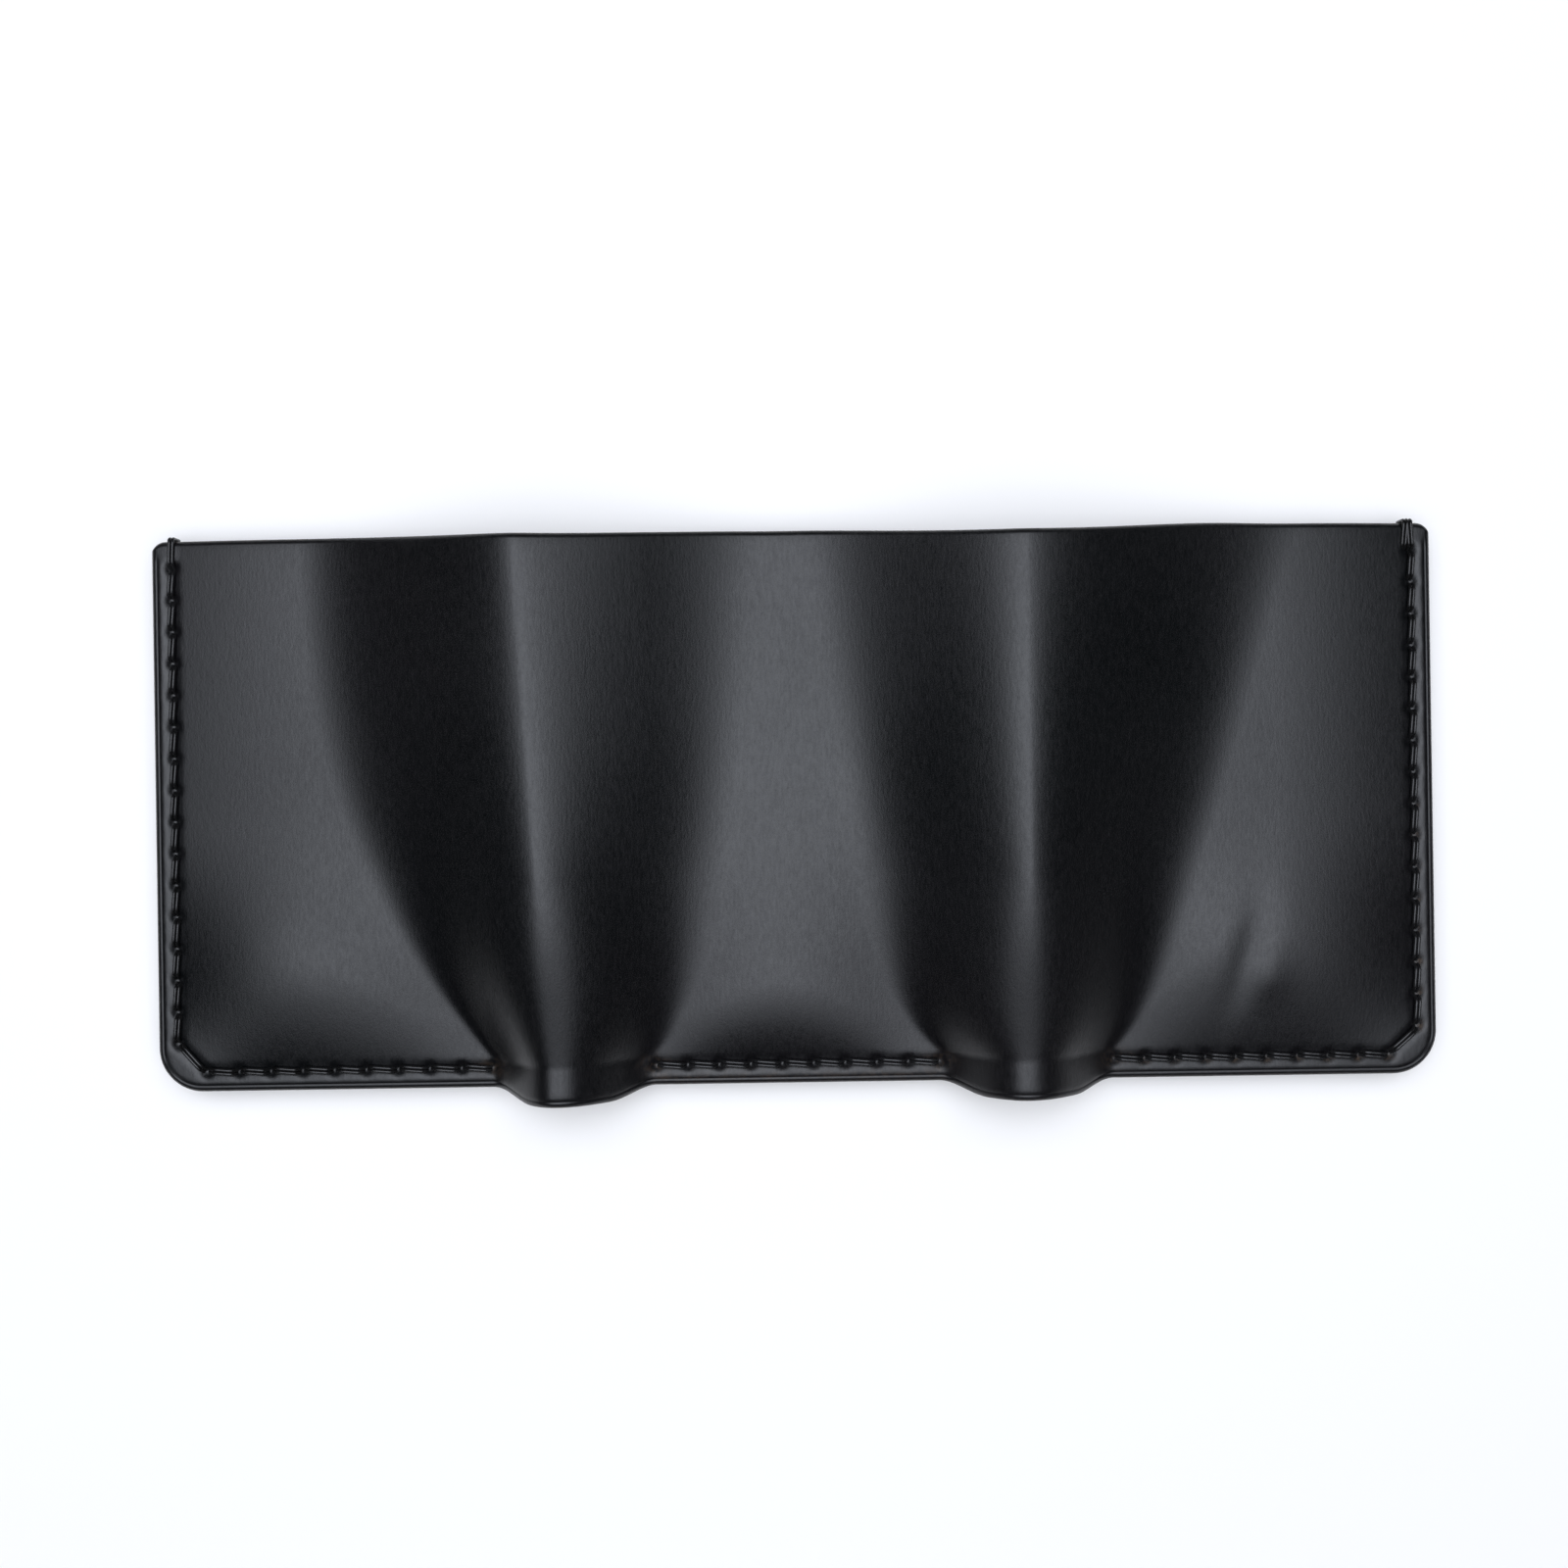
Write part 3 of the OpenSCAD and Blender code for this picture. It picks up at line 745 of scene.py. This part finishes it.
def flap_half(y):
    """Half width of the flap: its two lower corners are round."""
    half = (flap_right - flap_left) / 2
    d = np.maximum(0.0, flap_tip + tip_radius - y)
    return half - (tip_radius - np.sqrt(np.maximum(0.0, tip_radius ** 2 - d * d)))


def back_and_flap():
    """The pouch's back, the bend and the flap: one leather, from the hem up, round the bend and down."""
    back_run = bend_y - low_edge
    bend_run = math.pi * (bend_radius - pocket_thick / 2)
    flap_run = bend_y - flap_tip
    total = back_run + bend_run + flap_run
    flap_middle = (flap_left + flap_right) / 2
    border = np.array([0, 0.07, 0.17, 0.32, 0.55])
    fine = np.concatenate([border, np.arange(0.9, back_run / MM - 2, 0.9)]) * MM
    turn = np.linspace(back_run - 2 * MM, back_run + bend_run + 2 * MM, 34)
    down = np.concatenate([np.arange(2.9, flap_run / MM - 0.9, 0.9), flap_run / MM - border[::-1]]) * MM
    up = np.concatenate([fine, turn, back_run + bend_run + down])
    across = stops(0, 1, 0.014, False, False)
    rim = np.array([0.002, 0.006, 0.012])
    across = np.unique(np.concatenate([across, rim, 1 - rim]))

    def face(u, s, upper):
        on_back = s < back_run
        turning = (s >= back_run) & (s <= back_run + bend_run)
        angle = np.pi * (s - back_run) / bend_run
        y_back = low_edge + s
        y_flap = bend_y - (s - back_run - bend_run)
        y_path = np.where(on_back, y_back, np.where(turning, bend_y, y_flap))
        half = flap_half(np.where(s > back_run + bend_run, y_flap, bend_y))
        narrow = eased((s - back_run + 1.2 * MM) / (1.2 * MM))
        low_x = mixed(pouch_left, flap_middle - half, narrow)
        high_x = mixed(right_edge, flap_middle + half, narrow)
        x = mixed(low_x, high_x, u)
        corner = np.where(on_back, np.maximum(lower_edge(x) - low_edge, 0), 0)
        y_path = np.where(on_back, mixed(low_edge + corner, bend_y, clamped(s / back_run)), y_path)
        side = np.minimum(np.minimum(x - low_x, high_x - x), np.minimum(s, total - s))
        edge = rounding(np.maximum(side, 0), 0.22 * MM)
        half_thick = pocket_thick / 2 - edge
        outward = np.where(upper, half_thick, -half_thick)
        mid_radius = bend_radius - pocket_thick / 2
        y = np.where(turning, bend_y + (mid_radius + outward) * np.sin(angle), y_path)
        z_back = back_low + pocket_thick / 2 + outward
        z_flap = flap_low + pocket_thick / 2 - outward
        z_turn = bend_middle + (mid_radius + outward) * np.cos(angle)
        z = np.where(on_back, z_back, np.where(turning, z_turn, z_flap))
        return np.column_stack([x, y, z])

    sheet = shell(across, up, face)
    round_hole(sheet, snap_middle, 1.27 * MM, 0, flap_low + 1.2 * pocket_thick)
    smooth(sheet, 50)
    finish_piece(sheet, "coin_pouch_back_and_flap", pocket_leather)
    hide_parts("coin_pouch_back", "coin_pouch_bend", "coin_pouch_flap")
    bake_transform(sheet)
    flat_area = (right_edge - pouch_left) * back_run + (flap_right - flap_left) * (bend_run + flap_run)
    flat_area -= 0.43 * tip_radius ** 2
    return sheet


def pouch_front():
    def face(x, v, upper):
        low = lower_edge(x)
        y = mixed(low, front_mouth, v)
        side = np.minimum(np.minimum(x - pouch_left, right_edge - x), np.minimum(y - low, front_mouth - y))
        edge = rounding(np.maximum(side, 0), 0.25 * MM)
        crease = 0.12 * MM * np.exp(-((front_mouth - y - 2 * MM) / (0.35 * MM)) ** 2)
        return np.column_stack([x, y, np.where(upper, front_high - edge, front_low + edge + crease)])

    columns = stops(pouch_left, right_edge, 0.7 * MM)
    rows = (stops(low_edge, front_mouth, 0.8 * MM) - low_edge) / (front_mouth - low_edge)
    sheet = shell(columns, rows, face)
    round_hole(sheet, snap_middle, 1.27 * MM, 0, 1)
    smooth(sheet, 50)
    finish_piece(sheet, "coin_pouch_front_leather", pocket_leather)
    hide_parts("coin_pouch_front")
    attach(sheet, "right_panel")
    return sheet


def pouch_gusset():
    """A narrow leather folded flat round the pouch's two sides and its bottom."""
    arm = 3.7 * MM
    right_arm = 5.2 * MM

    def face(u, v, upper):
        # u runs round the U from its left end to its right end, v from the outer edge inwards
        left_run = bend_y - low_edge
        base_run = right_edge - pouch_left
        s = u * (2 * left_run + base_run)
        on_left = s < left_run
        on_base = (s >= left_run) & (s <= left_run + base_run)
        x_base = pouch_left + (s - left_run)
        inner_low = seam_y + 1.6 * MM
        x = np.where(on_left, pouch_left + v * arm, right_edge - v * right_arm)
        y = np.where(on_left, bend_y - s, low_edge + (s - left_run - base_run))
        inward = clamped((x_base - pouch_left) / base_run)
        x_in = mixed(pouch_left + arm, right_edge - right_arm, inward)
        x = np.where(on_base, mixed(x_base, x_in, v), x)
        low = lower_edge(x_base)
        y = np.where(on_base, mixed(low, inner_low, v), y)
        y_side = np.where(on_left, mixed(low_edge, inner_low, v), np.maximum(mixed(lower_edge(x), inner_low, v), low_edge))
        y = np.where(on_base, y, np.maximum(y, y_side))
        wave = 0.1 * MM * np.sin(v * np.pi)
        return np.column_stack([x, y, np.where(upper, back_low - 0.02 * MM, gusset_low + 0.02 * MM + wave)])

    sheet = shell(np.linspace(0, 1, 220), np.linspace(0, 1, 7), face)
    smooth(sheet, 50)
    finish_piece(sheet, "coin_pouch_gusset_leather", pocket_leather)
    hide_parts("coin_pouch_gusset")
    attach(sheet, "right_panel")
    return sheet


back_and_flap()
pouch_front()
pouch_gusset()


# ---------------------------------------------------------------- waxed thread
STRAND = 0.33 * MM


def outer_height(x, y):
    return float(liner_top + lift(np.array([x]), np.array([y]))[0] + outer_thick)


def thread_curve(name, runs):
    """One mesh of short strands. A run is a list of points."""
    curve = bpy.data.curves.new(name, "CURVE")
    curve.dimensions = "3D"
    curve.bevel_depth = STRAND
    curve.bevel_resolution = 2
    curve.use_fill_caps = True
    for run in runs:
        spline = curve.splines.new("POLY")
        spline.points.add(len(run) - 1)
        for point, place in zip(spline.points, run):
            point.co = (*place, 1)
    thread = bpy.data.objects.new(name, curve)
    bpy.context.scene.collection.objects.link(thread)
    active(thread)
    bpy.ops.object.convert(target="MESH")
    thread = bpy.context.object
    return smooth(thread, 60)


def stitch_runs(a, b, surface, outward, slant=0.22 * MM, lie=0.2 * MM):
    """Two strands side by side from hole a to hole b, lying on a face and diving into both holes."""
    length = math.hypot(b[0] - a[0], b[1] - a[1])
    ux, uy = (b[0] - a[0]) / length, (b[1] - a[1]) / length
    runs = []
    for side in (-0.31 * MM, 0.31 * MM):
        run = []
        for s in (0.0, 0.05, 0.12, 0.22, 0.36, 0.5, 0.64, 0.78, 0.88, 0.95, 1.0):
            lean = side + slant * (1 - 2 * s)
            along = mixed(0.35 * MM, length - 0.35 * MM, s)
            x = a[0] + along * ux - lean * uy
            y = a[1] + along * uy + lean * ux
            dive = 1.1 * MM * (1 - eased(min(s, 1 - s) / 0.17))
            run.append((x, y, surface(x, y) + outward * (lie - dive)))
        runs.append(run)
    return runs


def under_left(x, y):
    for n in (3, 2, 1):
        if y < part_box("left_card_pocket_%d" % n)[1][1]:
            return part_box("left_card_pocket_%d" % n)[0][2]
    return liner_low


def under_right(x, y):
    if y < front_mouth:
        return front_low
    return gusset_low if y < bend_y else liner_low


def seam_runs(path, under, thick_lie=0.0):
    runs = []
    for a, b in zip(path, path[1:]):
        runs += stitch_runs(a, b, outer_height, 1)
        middle = ((a[0] + b[0]) / 2, (a[1] + b[1]) / 2)
        face = under(*middle)
        runs += stitch_runs(a, b, lambda x, y: face, -1, lie=-0.4 * MM if face < 0.1 * MM else 0.18 * MM)
    return runs


def top_wrap(x, slant):
    """Thread that runs from the last hole up and over the opening's raw edge."""
    runs = []
    last = side_seam_low + side_stitches * stitch
    for side in (-0.31 * MM, 0.31 * MM):
        run = []
        for s in np.linspace(0, 1, 9):
            y = mixed(last, upper_edge(np.array([x]))[0] + 0.1 * MM, s)
            px = x + side + slant * s
            run.append((px, y, outer_height(px, min(y, top_edge)) + 0.2 * MM - 1.1 * MM * (1 - eased(s / 0.17))))
        for drop in (0.35, 0.8, 1.6, 2.4, 3.0):
            run.append((px, y + 0.3 * MM, outer_height(px, top_edge) + 0.1 * MM - drop * MM))
        runs.append(run)
    return runs


left_runs = seam_runs(SEAM_PATHS["left"], under_left) + top_wrap(-seam_x, 0.2 * MM)
right_runs = seam_runs(SEAM_PATHS["right"], under_right) + top_wrap(seam_x, -0.3 * MM)
right_runs += top_wrap(seam_x - 1.4 * MM, 0.5 * MM)
middle_runs = seam_runs(SEAM_PATHS["middle"], lambda x, y: 0.0)


def inner_runs(x, top, under):
    """An inner seam: on the pockets' face, and on the liner where the outer leather stands clear."""
    runs = []
    count = int((top - seam_y) / stitch)
    for i in range(1, count):
        a = (x, seam_y + i * stitch)
        b = (x, a[1] + stitch)
        face = under(x, (a[1] + b[1]) / 2)
        runs += stitch_runs(a, b, lambda px, py: face, -1, lie=-0.4 * MM if face < 0.1 * MM else 0.18 * MM)
        if i > 1:
            runs += stitch_runs(a, b, lambda px, py: liner_top, 1)
    return runs


left_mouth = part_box("left_card_pocket_1")[1][1]
for name, runs, node, body in (
    ("left_seam_thread", left_runs, "left_seam", "left_panel"),
    ("middle_seam_thread", middle_runs, "middle_seam", "middle_panel"),
    ("right_seam_thread", right_runs, "right_seam", "right_panel"),
    ("left_pocket_thread", inner_runs(pocket_end - 1.5 * MM, left_mouth, under_left), "left_pocket_seam", "left_panel"),
    ("middle_pocket_thread",
     inner_runs(-28.5 * MM, left_mouth, under_left) + inner_runs(28.5 * MM, left_mouth, under_left),
     "middle_pocket_seam", "middle_panel"),
    ("coin_pouch_thread", inner_runs(pouch_left + 1.5 * MM, bend_y - 4 * MM, under_right), "coin_pouch_seam", "right_panel"),
):
    thread = finish_piece(thread_curve(name, runs), name, waxed_thread)
    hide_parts(node)
    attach(thread, body)

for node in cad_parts.values():
    if node.name.startswith("snap"):
        node.data.materials.clear()
        node.data.materials.append(snap_metal)


# ---------------------------------------------------------------- table, light and camera
SEAM_PLANE = liner_top + outer_thick
FRAME_WIDTH = 284 * MM
CAMERA_HEIGHT = 300 * MM
ROLL = math.radians(-0.87)
AIM = (-1.8 * MM, 5.3 * MM)

scene = bpy.context.scene
scene.view_settings.view_transform = "Standard"

camera = bpy.data.objects.new("camera", bpy.data.cameras.new("camera"))
scene.collection.objects.link(camera)
camera.location = (AIM[0], AIM[1], SEAM_PLANE + CAMERA_HEIGHT)
camera.rotation_euler = (0, 0, ROLL)
camera.data.sensor_width = 36
camera.data.lens = 36 * CAMERA_HEIGHT / FRAME_WIDTH
camera.data.clip_start = 0.01
scene.camera = camera

deselect()
bpy.ops.mesh.primitive_plane_add(size=3, location=(0, 0, -0.05 * MM))
table = bpy.context.object
table.name = "table"
white = bpy.data.materials.new("white table")
nodes, links, shader = shader_nodes(white)
shader.inputs["Base Color"].default_value = (0.9, 0.9, 0.9, 1)
shader.inputs["Roughness"].default_value = 0.9
table.data.materials.append(white)


def soft_light(name, size, place, energy, color, in_reflections=True):
    data = bpy.data.lights.new(name, "AREA")
    data.shape = "RECTANGLE"
    data.size, data.size_y = size
    data.energy = energy
    data.color = color
    lamp = bpy.data.objects.new(name, data)
    scene.collection.objects.link(lamp)
    lamp.location = place
    lamp.visible_glossy = in_reflections
    return lamp


soft_light("softbox", (0.75, 0.72), (-0.04, 0.12, 1.0), 3.75, (0.87, 0.91, 1.0))
soft_light("softbox rim", (1.36, 1.36), (-0.04, 0.12, 1.02), 9.8, (0.87, 0.91, 1.0))
soft_light("wide table light", (2.6, 2.6), (0, 0, 1.4), 13, (1, 0.96, 0.9), in_reflections=False)
world = bpy.data.worlds.new("studio")
scene.world = world
world.use_nodes = True
world.node_tree.nodes["Background"].inputs["Color"].default_value = (0.9, 0.95, 1, 1)
world.node_tree.nodes["Background"].inputs["Strength"].default_value = 0.025
